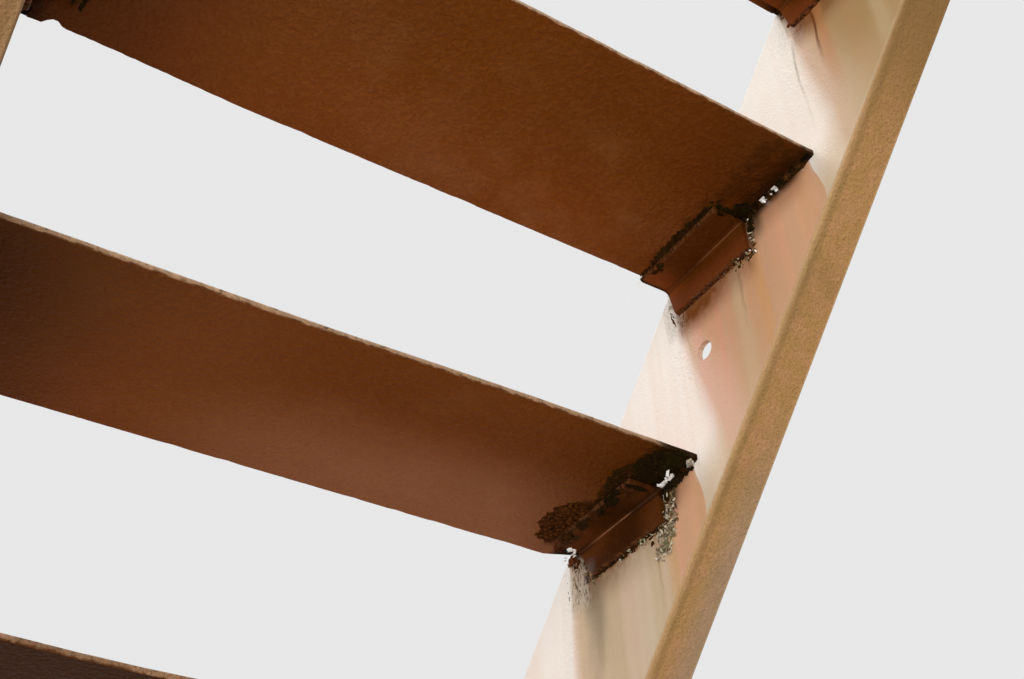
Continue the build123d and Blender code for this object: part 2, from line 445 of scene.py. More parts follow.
    # Worn paint and a painted highlight along the heel's rounded ridge.
    heel = fade_between(from_heel, 0.0006, 0.003) * rise_between(across, face - 0.006, face - 0.003)
    heel = heel * fade_between(across, face - 0.0016, face - 0.0004) * 0.3
    paint = coat(heel, paint, srgb(208, 180, 142))

    # The right stringer stands in shelter: it is painted darker all over, for
    # grime and the shade it stands in.
    right_side = rise_between(x, WEB_FACE - 0.003, WEB_FACE - 0.001)
    right_grime_and_shade = right_side * (clouds * 0.5 + 0.22)
    paint = coat(right_grime_and_shade, paint, srgb(104, 68, 38))

    feed(shader.inputs["Base Color"], paint)
    feed(shader.inputs["Roughness"], clouds * 0.25 + 0.42)
    # Less gloss on the stains and on the painted shade under the treads and legs.
    dirt = larger(seep_and_shadow, larger(contact_shade, soot_and_shade) * sheltered)
    inside_dirt_and_shade = larger(dirt, spout) * (1.0 - outer)
    shader.inputs["Specular IOR Level"].default_value = 0.3
    feed(shader.inputs["Specular IOR Level"], 0.3 - inside_dirt_and_shade * 0.27)
    crinkled = band(behind, 0.012, 0.014, 0.050) * fade_between(under_leg, 0.03, 0.14) * 0.7
    skin = peel * (soffit * 0.75 + crinkled + 0.25)
    normal = emboss(skin, 0.8, 0.0016)
    relief = rim * 2.0 + wrinkled * folds * 3.0 + grain
    feed(shader.inputs["Normal"], emboss(relief, 0.4, 0.0006, normal))
    return material


def repaint(names, finish):
    """Put a finish on pieces of the frame that keep their own shape."""
    for name in names:
        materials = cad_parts[name].data.materials
        materials.clear()
        materials.append(finish)


salmon_paint = weathered_salmon()
repaint(("stringer_left", "stringer_right"), salmon_paint)

# Treads. Flat 6 mm steel plates, laid on the cleats and tacked to them. Their
# red-brown paint has an orange-peel skin, the rear edges have faded and carry
# painted light, and rust has nibbled the front edges and eaten two corners.
PLATE_CUTS = (168, 12)
ARRIS = 0.0008
RIM_ANGLE = math.radians(60)
REAR_SEED = 20
# Corners that rust has taken: tread, side, and the size along and into the plate.
LOST_CORNERS = {6: (-1, 0.027, 0.011), 3: (1, 0.020, 0.008)}
# Bites in the front edge: tread, place along it, half its width, and its depth.
BITES = {7: (0.3125, 0.009, 0.009), 4: (-0.140, 0.012, 0.004), 2: (0.215, 0.009, 0.003)}
# Edges that rust has thinned over a length: points along the edge and the loss.
FRONT_LOSS = {7: ((0.15, 0.0), (0.222, 0.0025), (0.290, 0.004), (0.304, 0.004), (0.306, 0.0))}
REAR_LOSS = {
    6: ((-0.15, 0.0), (0.04, 0.0042), (0.335, 0.0047)),
    5: ((-0.335, 0.0), (-0.15, 0.0075), (0.09, 0.0075), (0.146, 0.0045), (0.20, 0.0)),
}


def loss_along(points, x):
    """The loss at x, on straight lines from point to point."""
    for (x0, loss0), (x1, loss1) in zip(points, points[1:]):
        if x0 <= x <= x1:
            return loss0 + (loss1 - loss0) * (x - x0) / (x1 - x0)
    return 0.0


def eaten(step, spot, width):
    """How far rust has moved a point of a plate's outline back, in metres."""
    seed = Vector((0, 0, step * 7.3))
    loss = max(0.0, noise.noise(spot * 45 + seed) - 0.2) * 0.0022
    loss += max(0.0, noise.noise(spot * 210 + seed)) * 0.0006
    if step in LOST_CORNERS:
        side, long, deep = LOST_CORNERS[step]
        loss += deep * max(0.0, 1 - (width / 2 - side * spot.x) / long)
    if step in BITES:
        middle, half, deep = BITES[step]
        loss += deep * max(0.0, 1 - ((spot.x - middle) / half) ** 2)
    return loss + loss_along(FRONT_LOSS.get(step, ()), spot.x)


def worn_plate(step):
    """A tread plate with a ragged front edge, as a bmesh in place."""
    low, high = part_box(f"tread_{step}")
    size = high - low
    plate = bmesh.new()
    columns, rows = PLATE_CUTS
    bmesh.ops.create_grid(plate, x_segments=columns, y_segments=rows, size=0.5)
    bmesh.ops.scale(plate, vec=(size.x, size.y, 1), verts=plate.verts)
    middle = (low + high) / 2
    bmesh.ops.translate(plate, vec=(middle.x, middle.y, high.z), verts=plate.verts)
    half_row = size.y / rows * 0.5
    for vert in plate.verts:
        if vert.co.y < low.y + half_row:
            vert.co.y += eaten(step, vert.co, size.x)
        elif vert.co.y > high.y - half_row:
            loss = 0.5 * eaten(step + REAR_SEED, vert.co, size.x)
            vert.co.y -= loss + loss_along(REAR_LOSS.get(step, ()), vert.co.x)
    bmesh.ops.solidify(plate, geom=plate.faces[:], thickness=size.z)
    bmesh.ops.recalc_face_normals(plate, faces=plate.faces)
    rims = [edge for edge in plate.edges if edge.calc_face_angle(0) > RIM_ANGLE]
    bmesh.ops.bevel(
        plate, geom=rims, offset=ARRIS, segments=2, profile=0.5, affect="EDGES", material=-1
    )
    return plate


def red_brown(name, base, dull, dark, peel):
    """Old red-brown paint with an orange-peel skin, dull patches and dirt."""
    material, shader, place = finish_named(name)
    skin = mottle(place, 240.0, 2.0, 0.5)
    specks = mottle(place, 520.0, 2.0, 0.6)
    clouds = mottle(stretch(place, (1.0, 1.6, 1.0)), 4.0, 3.0, 0.5)
    patches = mottle(place, 12.0, 4.0, 0.6)
    paint = coat(rise_between(clouds, 0.36, 0.70) * 0.45, base, dark)
    paint = coat(rise_between(patches, 0.52, 0.72) * 0.45, paint, dull)
    paint = coat(rise_between(skin, 0.42, 0.66) * 0.30, paint, dull)
    paint = coat(fade_between(specks, 0.34, 0.48) * 0.34, paint, dark)
    feed(shader.inputs["Roughness"], skin * 0.25 + 0.42)
    shader.inputs["Specular IOR Level"].default_value = 0.055
    normal = emboss(skin, peel, 0.0034)
    feed(shader.inputs["Normal"], emboss(specks, peel * 0.6, 0.0008, normal))
    return material, shader, place, paint


# How dark each tread's underside is painted, for grime and shade, and how
# pale its rear edge is painted, for fading and the light on it, from the first
# tread up, 0 to 1.
TREAD_GRIME_AND_SHADE = (0.25, 0.10, 0.35, 0.15, 0.75, 0.02, 0.0, 0.12, 0.2)
EDGE_FADE_AND_LIGHT = (0.5, 0.8, 0.4, 0.7, 0.25, 0.62, 0.85, 0.7, 0.6)
# How much dry dust and painted sheen grey the front of each underside, from the first tread up.
TREAD_DUST_AND_SHEEN = (0.4, 0.2, 0.5, 0.3, 0.0, 0.8, 0.0, 0.1, 0.4)


def tread_paint():
    """Red-brown below with painted shade and sheen, faded pink-beige on the edges with painted light,
    worn and dusty on top.
    """
    material, shader, place, paint = red_brown(
        "tread_red_brown", srgb(136, 70, 14), srgb(152, 92, 46), srgb(114, 54, 4), 0.9
    )
    # Grime and painted shade darken the underside towards both ends and a little
    # to the rear, and dry dust with a painted sheen greys patches of it near the
    # front.
    x, y, z = split(place)
    behind = y % GOING
    step = step_at(y)
    to_left = -x
    ends = rise_between(x, 0.12, 0.36) * 0.85 + rise_between(to_left, 0.16, 0.37) * 0.58
    rear = rise_between(behind, 0.02, 0.19) * 0.34
    deep = smaller(ends + rear + by_step(step, TREAD_GRIME_AND_SHADE), 1.0)
    paint = coat(deep, paint, srgb(76, 36, 0))
    # The darkest treads are painted near black below: grime and shade.
    deepest_grime_and_shade = rise_between(by_step(step, TREAD_GRIME_AND_SHADE), 0.5, 0.75) * 0.65
    paint = coat(deepest_grime_and_shade, paint, srgb(40, 17, 0))
    patchy = rise_between(mottle(place, 7.0, 4.0, 0.6), 0.44, 0.66)
    dust_and_sheen = patchy * 0.30 + by_step(step, TREAD_DUST_AND_SHEEN)
    dust_and_sheen = fade_between(behind, 0.03, 0.16) * dust_and_sheen * fade_between(ends, 0.1, 0.8) * 0.8
    dust_and_sheen = dust_and_sheen * fade_between(x, -0.08, 0.20)
    dust_and_sheen = larger(dust_and_sheen, rise_between(x, 0.0, 0.12) * 0.075)
    paint = coat(dust_and_sheen, paint, srgb(164, 112, 78))
    facing = split(Field(new_node(place, "ShaderNodeTexCoord").outputs["Normal"]))
    up = rise_between(facing[2], 0.4, 0.9)
    back = rise_between(facing[1], 0.25, 0.75)
    front = fade_between(facing[1], -0.75, -0.25)
    edge_noise = mottle(place, 85.0, 3.0)
    # The edge's lower half is painted dark, for grime and shade, and its upper
    # arris palest, for wear and a painted highlight.
    height = (z - step * RISE + PLATE) / PLATE
    uneven = edge_noise * 0.9 + height - 0.45
    faded = coat(by_step(step, EDGE_FADE_AND_LIGHT), srgb(122, 82, 50), srgb(200, 166, 134))
    palest_wear_and_highlight = rise_between(uneven, 0.62, 1.0) * by_step(step, EDGE_FADE_AND_LIGHT) * 0.8
    faded = coat(palest_wear_and_highlight, faded, srgb(232, 206, 184))
    faded = coat(fade_between(uneven, 0.10, 0.42), faded, srgb(98, 56, 28))
    nicks = mottle(stretch(place, (1.0, 1.0, 2.4)), 130.0, 3.0, 0.6)
    faded = coat(fade_between(nicks, 0.34, 0.44) * 0.75, faded, srgb(96, 60, 34))
    faded = coat(rise_between(edge_noise, 0.45, 0.65) * 0.4, faded, srgb(196, 150, 112))
    paint = coat(back, paint, faded)
    # The last few millimetres at both ends are black with wet grime and painted shade in the joint.
    rusted = by_cleat(x, step, CLEAT_RUST)
    tip = abs(x) + edge_noise * 0.012
    tips = rise_between(tip, WEB_FACE - 0.022, WEB_FACE - 0.001) * 0.75
    eaten_end = rise_between(rusted, 0.8, 1.0)
    tips = larger(tips, rise_between(tip, WEB_FACE - 0.024, WEB_FACE - 0.016) * eaten_end)
    rear_corner = rise_between(tip, WEB_FACE - 0.050, WEB_FACE - 0.026)
    rear_corner = rear_corner * rise_between(behind, 0.150, 0.175) * eaten_end
    paint = coat(larger(tips, rear_corner), paint, srgb(38, 20, 0))
    # Rust has bled into the paint round the cleats, in ragged dark patches.
    inwards = WEB_FACE - abs(x)
    close = fade_between(inwards, CLEAT_LEG, CLEAT_LEG + 0.036)
    bled = close * 0.30 + mottle(place, 62.0, 5.0, 0.7) - 0.30
    bled = rise_between(bled, 0.40, 0.52) * rise_between(rusted, 0.3, 0.9)
    bled = bled * rise_between(behind, 0.012, 0.034) * 0.8
    paint = coat(bled * close, paint, srgb(42, 22, 2))
    rusty = coat(rise_between(edge_noise, 0.42, 0.6), srgb(168, 96, 48), srgb(92, 52, 24))
    paint = coat(front, paint, rusty)
    # Feet wear the top through to dark steel in the middle, near the front edge.
    trodden = fade_between(abs(x), 0.06, 0.26) * fade_between(behind, 0.02, 0.17)
    scuffs = mottle(stretch(place, (1.0, 2.5, 1.0)), 30.0, 5.0, 0.7)
    worn = rise_between(trodden * 0.32 + scuffs, 0.60, 0.78)
    chalky = coat(rise_between(scuffs, 0.4, 0.7), srgb(168, 108, 76), srgb(190, 138, 106))
    top = coat(worn, chalky, srgb(96, 84, 74))
    paint = coat(up, paint, top)
    feed(shader.inputs["Base Color"], paint)
    feed(shader.inputs["Metallic"], up * worn * 0.7)
    return material


def new_object(name, mesh, finish):
    """Turn a bmesh into an object of the scene, in its finish."""
    data = bpy.data.meshes.new(name)
    mesh.to_mesh(data)
    mesh.free()
    data.materials.append(finish)
    made = bpy.data.objects.new(name, data)
    bpy.context.collection.objects.link(made)
    return made


plate_paint = tread_paint()
for step in range(1, STEPS + 1):
    tread = new_object(f"tread_plate_{step}", worn_plate(step), plate_paint)
    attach(tread, "root")
    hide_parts(f"tread_{step}")

# Cleats. Short lengths of 40 mm rolled angle, cropped by hand, so that their
# ends are a little out of square. One leg is under the tread and the other is
# welded flat to the web. Their toes have rusted thin under the paint.
CLEAT_THICKNESS = 0.005
CLEAT_ROOT = 0.006
CLEAT_TOE = 0.003
CLEAT_CUTS = 40
CLEAT_SHARP = math.radians(40)
NEAR = 1e-5
# How far the front end is cropped back at the foot of the upright leg. The
# three values of each side repeat up the flight.
CLEAT_CROPS = {"left": (0.021, 0.008, 0.008), "right": (0.005, 0.009, 0.014)}


def angle_cleat(side, step, sign):
    """An angle cleat with rolled root and toes and wasted edges, as a bmesh in place."""
    low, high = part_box(f"cleat_{side}_{step}")
    length = high.y - low.y
    rust = CLEAT_RUST[side][step - 1]
    heel = Vector((sign * WEB_FACE, low.y, high.z))
    corners = [(0, 0), (CLEAT_LEG, 0), (CLEAT_LEG, CLEAT_THICKNESS), (CLEAT_THICKNESS, CLEAT_THICKNESS)]
    corners += [(CLEAT_THICKNESS, CLEAT_LEG), (0, CLEAT_LEG)]
    cleat = bmesh.new()
    outline = [cleat.verts.new((-sign * x, 0, -z)) for x, z in corners]
    cap = cleat.faces.new(outline)
    run = bmesh.ops.extrude_face_region(cleat, geom=[cap])
    moved = [item for item in run["geom"] if isinstance(item, bmesh.types.BMVert)]
    bmesh.ops.translate(cleat, vec=(0, length, 0), verts=moved)

    def lengthwise(x, z):
        """The long edges at one corner of the profile."""
        spot = Vector((-sign * x, length / 2, -z))
        middles = [(edge, (edge.verts[0].co + edge.verts[1].co) / 2) for edge in cleat.edges]
        return [edge for edge, middle in middles if (middle - spot).length < NEAR]

    root = lengthwise(CLEAT_THICKNESS, CLEAT_THICKNESS)
    bmesh.ops.bevel(
        cleat, geom=root, offset=CLEAT_ROOT, segments=5, profile=0.5, affect="EDGES", material=-1
    )
    toes = lengthwise(CLEAT_LEG, CLEAT_THICKNESS) + lengthwise(CLEAT_THICKNESS, CLEAT_LEG)
    bmesh.ops.bevel(
        cleat, geom=toes, offset=CLEAT_TOE, segments=3, profile=0.5, affect="EDGES", material=-1
    )
    long_edges = [edge for edge in cleat.edges if edge.calc_length() > length / 2]
    bmesh.ops.subdivide_edges(cleat, edges=long_edges, cuts=CLEAT_CUTS, use_grid_fill=True)

    crop = CLEAT_CROPS[side][step % len(CLEAT_CROPS[side])]
    for vert in cleat.verts:
        out = abs(vert.co.x) / CLEAT_LEG
        down = -vert.co.z / CLEAT_LEG
        along = vert.co.y / length
        waste = noise.noise(Vector((vert.co.y * 130, step * 5.7, sign * 3)))
        waste = rust * 0.0016 * max(0.0, waste + 0.25)
        if out > 0.9:
            vert.co.x += sign * waste
        if down > 0.9:
            vert.co.z += waste
        vert.co.y += crop * down * (1 - along)
    bmesh.ops.recalc_face_normals(cleat, faces=cleat.faces)
    bmesh.ops.translate(cleat, vec=heel, verts=cleat.verts)
    return cleat


# How strongly worn paint and a painted highlight show along each cleat's root, from the first tread up.
ROOT_WEAR_AND_HIGHLIGHT = (0.3, 0.2, 0.4, 0.25, 0.3, 0.5, 0.22, 0.3, 0.35)


def cleat_paint():
    """The treads' paint where it is sheltered: darker, with rust on toes and ends."""
    material, shader, place, paint = red_brown(
        "cleat_red_brown", srgb(88, 42, 2), srgb(108, 60, 24), srgb(60, 28, 0), 0.35
    )
    x, y, z = split(place)
    step = step_at(y)
    below = step * RISE - (z + PLATE)
    inwards = WEB_FACE - abs(x)
    toe = larger(inwards, below)
    hanging = rise_between(below - inwards, 0.004, 0.03)
    rusted_cleat = by_cleat(x, step, CLEAT_RUST)
    sound = fade_between(rusted_cleat, 0.6, 1.0)
    paint = coat(hanging * sound * 0.55, paint, srgb(124, 60, 30))
    paint = coat(hanging * (1.0 - sound) * 0.5, paint, srgb(54, 22, 6))
    behind = (y + GOING * 0.1) % GOING
    rear_half = rise_between(behind, GOING * 0.25, GOING * 0.75)
    # The worst cleat's hanging leg is painted grey at its cropped front end: greyed paint with a
    # painted sheen.
    grey_patch = band(behind, GOING * 0.26, 0.004, 0.022) * rise_between(below, 0.014, 0.030)
    grey_patch = grey_patch * (1.0 - sound) * 0.6
    olive = rise_between(rusted_cleat, 0.4, 1.0) * (rear_half * 0.5 + 0.3)
    paint = coat(olive, paint, srgb(52, 25, 4))
    # Lighter towards the flat leg's front end: a painted highlight. The worst cleats are lighter at the
    # rear too.
    flat_front = fade_between(behind, GOING * 0.36, GOING * 0.50) * (1.0 - hanging)
    brighter = larger(flat_front, rise_between(behind, GOING * 0.62, GOING * 0.78))
    brighter = brighter * (1.0 - sound) * 0.42
    paint = coat(brighter, paint, srgb(110, 60, 24))
    front_highlight = fade_between(behind, GOING * 0.11, GOING * 0.27) * flat_front * 0.5
    paint = coat(front_highlight, paint, srgb(150, 76, 32))
    paint = coat(grey_patch, paint, srgb(118, 100, 92))
    smudge = rise_between(mottle(place, 55.0, 4.0, 0.6), 0.44, 0.56)
    smudge = smudge * rise_between(inwards, 0.016, 0.030)
    paint = coat(smudge * rise_between(rusted_cleat, 0.5, 1.0) * 0.8, paint, srgb(26, 18, 0))
    ragged = mottle(place, 90.0, 4.0, 0.6) * 0.010 - 0.005
    rusted = rise_between(toe + ragged, CLEAT_LEG - 0.0035, CLEAT_LEG)
    rust = coat(rise_between(mottle(place, 300.0), 0.4, 0.6), srgb(58, 34, 14), srgb(104, 62, 34))
    paint = coat(rusted, paint, rust)
    # The paint is thinner and paler along the middle of the rolled root, with a
    # painted highlight over part of its length, and painted shade darkens the rest
    # of the root.
    root = fade_between(inwards + below, 0.0140, 0.0160)
    middle = fade_between(abs(inwards - below), 0.0003, 0.0015)
    along_root = rise_between(behind, GOING * 0.28, GOING * 0.44)
    along_root = along_root * fade_between(behind, GOING * 0.60, GOING * 0.67)
    shaded_root = root * (1.0 - along_root) * (0.7 - sound * 0.25)
    paint = coat(shaded_root, paint, srgb(38, 16, 2))
    along_root = along_root * 0.85 + 0.15
    thin = rise_between(mottle(place, 26.0), 0.34, 0.5) * by_step(step, ROOT_WEAR_AND_HIGHLIGHT) * along_root
    root_wear_and_highlight = root * middle * thin
    paint = coat(root_wear_and_highlight, paint, srgb(186, 130, 92))
    feed(shader.inputs["Base Color"], paint)
    return material


angle_paint = cleat_paint()
for side, sign in (("left", -1), ("right", 1)):
    for step in range(1, STEPS + 1):
        piece = new_object(f"angle_cleat_{side}_{step}", angle_cleat(side, step, sign), angle_paint)
        quads = [len(face.vertices) == 4 for face in piece.data.polygons]
        piece.data.polygons.foreach_set("use_smooth", quads)
        piece.data.set_sharp_from_angle(angle=CLEAT_SHARP)
        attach(piece, "root")
        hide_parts(f"cleat_{side}_{step}")

# Rust crusts. Where water lies between a tread and its cleats the steel has
# blistered into layered, lumpy scale with dark hollows. It is worst at the left
# cleat of tread 6, and has spread there over the plate, the leg and the web.
CRUST_SINK = 0.0005
CRUST_BACK = 0.0012
CRUST_RAGGED = 0.0042
CRUST_SHOULDER = 0.0016
CRUMB_TONES = (0.1, 0.2, 0.7)
FINE_CELL = 0.0008
COARSE_CELL = 0.0015
GAP_REACH = 0.0068
LUMP = 0.0030
WORST_LUMP = 0.0036
WORST_TREAD = 6
# The crust's thickness under the tread, under the leg and on the web.
CRUST_THICKNESS = (0.0022, 0.0014, 0.0026)
WORST_THICKNESS = (0.0034, 0.0020, 0.0028)
# Oval spots on the tread's underside, as distance behind its front edge and in
# from the web, half-lengths along both, in metres, and tone: 0 is flat and near
# black, 0.7 lumpy and brown, 1 red-brown.
SOFFIT_SPOTS = {
    6: (
        (0.066, 0.052, 0.036, 0.021, 0.7), (0.040, 0.044, 0.018, 0.020, 0.6),
        (0.017, 0.024, 0.006, 0.007, 0.9), (0.105, 0.041, 0.034, 0.003, 0.3),
        (0.160, 0.043, 0.026, 0.015, 0.3), (0.186, 0.026, 0.033, 0.024, 0.1),
        (0.209, 0.020, 0.012, 0.018, 0.1),
    ),
    7: (
        (0.020, 0.040, 0.020, 0.005, 0.4), (0.060, 0.0415, 0.052, 0.0070, 0.3),
        (0.100, 0.0410, 0.024, 0.0055, 0.2), (0.119, 0.028, 0.005, 0.016, 0.1),
        (0.128, 0.012, 0.011, 0.010, 0.0),
    ),
}
# Spots on the underside of the cleat's flat leg, placed the same way.
LEG_SPOTS = {
    6: (
        (0.046, 0.034, 0.014, 0.005, 0.5), (0.122, 0.032, 0.009, 0.006, 0.1),
        (0.132, 0.038, 0.016, 0.004, 0.1), (0.104, 0.030, 0.005, 0.003, 0.1),
        (0.156, 0.026, 0.005, 0.012, 0.1),
    ),
    7: ((0.022, 0.035, 0.014, 0.004, 0.3), (0.115, 0.030, 0.003, 0.008, 0.1)),
}
# Spots on the web: distance behind the front edge, and below the underside.
WEB_SPOTS = {
    6: (
        (0.186, 0.004, 0.024, 0.007, 0.1), (0.166, 0.010, 0.007, 0.009, 0.1),
        (0.006, 0.004, 0.009, 0.006, 0.9), (0.014, 0.011, 0.007, 0.006, 0.8),
        (-0.0067, 0.0150, 0.0010, 0.0045, 0.9), (-0.0058, 0.0240, 0.0008, 0.0016, 0.9),
        (-0.0050, 0.0350, 0.0013, 0.0035, 0.6), (-0.0040, 0.0425, 0.0012, 0.0045, 0.6),
    ),
    7: (
        (0.1245, 0.012, 0.005, 0.013, 0.0), (-0.0078, 0.035, 0.0012, 0.0050, 0.8),
        (-0.0060, 0.041, 0.0022, 0.0045, 0.8), (-0.0038, 0.047, 0.0016, 0.0050, 0.7),
    ),
}
# Heaps of crumbs on the web round a cleat's foot: middle and half-lengths, the
# number of crumbs, and the size of one.
CRUMB_HEAPS = {
    6: (
        (0.150, 0.047, 0.014, 0.006, 9, 0.0034), (0.118, 0.0425, 0.030, 0.0016, 16, 0.0026),
        (0.060, 0.0425, 0.040, 0.0014, 9, 0.0020),
    ),
    7: (
        (0.112, 0.043, 0.012, 0.006, 22, 0.0030), (0.104, 0.049, 0.012, 0.004, 9, 0.0026),
        (0.084, 0.0425, 0.018, 0.0016, 7, 0.0024),
    ),
}
# Openings in the narrow gap at the treads' ends, where nothing clogs it, as
# start and end behind the tread's front edge.
OPENINGS = {
    ("left", 6): ((0.0, 0.006), (0.158, 0.188), (0.203, 0.213)),
    ("left", 7): ((0.1465, 0.152), (0.158, 0.160), (0.1645, 0.168)),
}


def heap_spots(step):
    """Small spots for the crumbs on one tread's web, drawn at random round their heaps."""
    draw = random.Random(step * 7)
    spots = []
    for along, below, half_along, half_down, count, size in CRUMB_HEAPS.get(step, ()):
        for _ in range(count):
            middle = (along + half_along * draw.uniform(-1, 1), below + half_down * draw.uniform(-1, 1))
            halves = (size * draw.uniform(0.5, 1.1), size * draw.uniform(0.4, 0.9))
            spots.append((*middle, *halves, draw.choice(CRUMB_TONES)))
    return spots


def cover(spots, u, v):
    """How deep a point lies inside the nearest spot, in metres, and that spot; under 0 is outside."""
    best = -1.0
    nearest = spots[0]
    for spot in spots:
        away = math.hypot((u - spot[0]) / spot[2], (v - spot[1]) / spot[3])
        depth = (1 - away) * min(spot[2], spot[3])
        if depth > best:
            best = depth
            nearest = spot
    return best, nearest


def part_corners(mesh, verts):
    """Delete the verts where patches of a sheet touch only at a corner; return the rest."""
    rest = [vert for vert in verts if vert.is_valid]
    while True:
        pinched = [vert for vert in rest if sum(edge.is_boundary for edge in vert.link_edges) > 2]
        if not pinched:
            break
        bmesh.ops.delete(mesh, geom=pinched, context="VERTS")
        rest = [vert for vert in rest if vert.is_valid]
    loose = [vert for vert in rest if not vert.link_faces]
    bmesh.ops.delete(mesh, geom=loose, context="VERTS")
    return [vert for vert in rest if vert.is_valid]


def give_back(mesh, faces, shift):
    """Close a sheet into a solid by a copy of it, moved by shift; return the copy's verts."""
    grown = bmesh.ops.extrude_face_region(mesh, geom=faces, use_keep_orig=True)
    backs = [item for item in grown["geom"] if isinstance(item, bmesh.types.BMVert)]
    bmesh.ops.translate(mesh, vec=shift, verts=backs)
    return backs


def toned_mesh():
    """An empty bmesh whose verts can store how tall and how warm the crust is."""
    mesh = bmesh.new()
    mesh.verts.layers.float.new("height")
    mesh.verts.layers.float.new("tone")
    return mesh


def spread(spots, axis):
    """Where spots start and end along one axis, with room for their ragged edges."""
    low = min(spot[axis] - spot[axis + 2] for spot in spots)
    high = max(spot[axis] + spot[axis + 2] for spot in spots)
    return low - CRUST_RAGGED, high + CRUST_RAGGED


def grow_crust(mesh, seat, spots, cell, lump, thick, seed, openings=()):
    """Lumpy crust over spots on a flat face, with ragged sunk edges and a buried back."""
    low_u, high_u = spread(spots, 0)
    low_v, high_v = spread(spots, 1)
    columns, rows = [max(2, round(span / cell)) for span in (high_u - low_u, high_v - low_v)]
    sheet = bmesh.ops.create_grid(mesh, x_segments=columns, y_segments=rows, size=0.5)["verts"]
    tall = mesh.verts.layers.float["height"]
    warm = mesh.verts.layers.float["tone"]
    shift = Vector((seed * 1.7, seed * 0.9, seed * 3.1))
    bare = []
    kept = []
    for vert in sheet:
        u = low_u + (vert.co.x + 0.5) * (high_u - low_u)
        v = low_v + (vert.co.y + 0.5) * (high_v - low_v)
        spot = Vector((u, v, 0))
        depth, nearest = cover(spots, u, v)
        tone = nearest[4]
        ragged = min(CRUST_RAGGED, 0.8 * min(nearest[2], nearest[3]))
        depth += ragged * (noise.noise(spot * 150 + shift) + 0.7 * noise.noise(spot * 480 + shift))
        in_opening = v < GAP_REACH and any(first < u < last for first, last in openings)
        if depth < 0 or in_opening:
            bare.append(vert)
            continue
        crumb = max(0.0, 1 - 1.25 * noise.voronoi(spot / lump + shift)[0][0])
        rolling = 0.5 + 0.5 * noise.noise(spot * 260 + shift)
        fine = 0.5 + 0.5 * noise.noise(spot * 900 + shift)
        lumpy = 0.15 + 0.35 * min(tone, 0.8)
        relief = lumpy * crumb + (0.66 - lumpy) * rolling + 0.34 * fine
        build = min(1.0, depth / CRUST_SHOULDER) * (0.2 + 0.8 * relief)
        vert.co = seat @ Vector((u, v, thick * build - CRUST_SINK))
        vert[tall] = 0.15 + 0.85 * relief
        vert[warm] = tone
        kept.append(vert)
    bmesh.ops.delete(mesh, geom=bare, context="VERTS")
    kept = part_corners(mesh, kept)
    faces = list({face for vert in kept for face in vert.link_faces})
    buried = seat.to_3x3() @ Vector((0, 0, -1))
    inwards = seat.inverted()
    for vert in give_back(mesh, faces, (0, 0, 0)):
        vert.co += buried * ((inwards @ vert.co).z + CRUST_SINK + CRUST_BACK)


def seats(step, leg_thickness):
    """The left side's faces for crusts: under the tread, under the leg, on the web."""
    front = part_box(f"tread_{step}")[0]
    down = Matrix(((0, 1, 0, -WEB_FACE), (1, 0, 0, front.y), (0, 0, -1, front.z), (0, 0, 0, 1)))
    leg = Matrix.Translation((0, 0, -leg_thickness)) @ down
    web = Matrix(((0, 0, 1, -WEB_FACE), (1, 0, 0, front.y), (0, -1, 0, front.z), (0, 0, 0, 1)))
    return down, leg, web


def seeded_spots(side, step):
    """Spots for a cleat that the measured lists leave out, more where it has rusted more."""
    rust = CLEAT_RUST[side][step - 1]
    start, end = cleat_span(side, step)
    draw = random.Random(step * 31 + len(side))
    soffit = []
    for _ in range(2 + round(5 * rust)):
        along = draw.uniform(start + 0.004, end + 0.006)
        inwards = CLEAT_LEG + draw.uniform(-0.002, 0.006)
        halves = (draw.uniform(0.008, 0.022), draw.uniform(0.002, 0.004 + 0.008 * rust))
        soffit.append((along, inwards, *halves, draw.random() * 0.8))
    inwards = draw.uniform(0.012, 0.026)
    soffit.append((end + 0.004, inwards, 0.005 + 0.006 * rust, draw.uniform(0.010, 0.016), 0.1))
    leg = []
    for _ in range(2):
        along = draw.uniform(start + 0.01, end - 0.01)
        halves = (0.006 + 0.012 * rust * draw.random(), 0.002 + 0.005 * rust)
        leg.append((along, CLEAT_LEG - 0.006, *halves, 0.2))
    web = [(end + 0.002, draw.uniform(0.006, 0.016), 0.003 + 0.006 * rust, 0.008 + 0.008 * rust, 0.1)]
    for _ in range(4):
        down = draw.uniform(0.0, CLEAT_LEG)
        web.append((start + 0.2 * down + draw.uniform(-0.005, 0.0), down, 0.0030, 0.0045, 0.9))
    for _ in range(3 + round(12 * rust)):
        along = end - 0.008 + 0.012 * draw.uniform(-1, 1) * (0.5 + rust)
        down = CLEAT_LEG + 0.002 + 0.004 * draw.uniform(-1, 1)
        halves = (0.0016 + 0.002 * draw.random(), 0.0012 + 0.002 * draw.random())
        web.append((along, down, *halves, draw.choice(CRUMB_TONES)))
    return soffit, leg, web


def stored(place, name):
    """The value that a piece's vertices carry under a name."""
    node = new_node(place, "ShaderNodeAttribute")
    node.attribute_name = name
    return Field(node.outputs["Fac"])


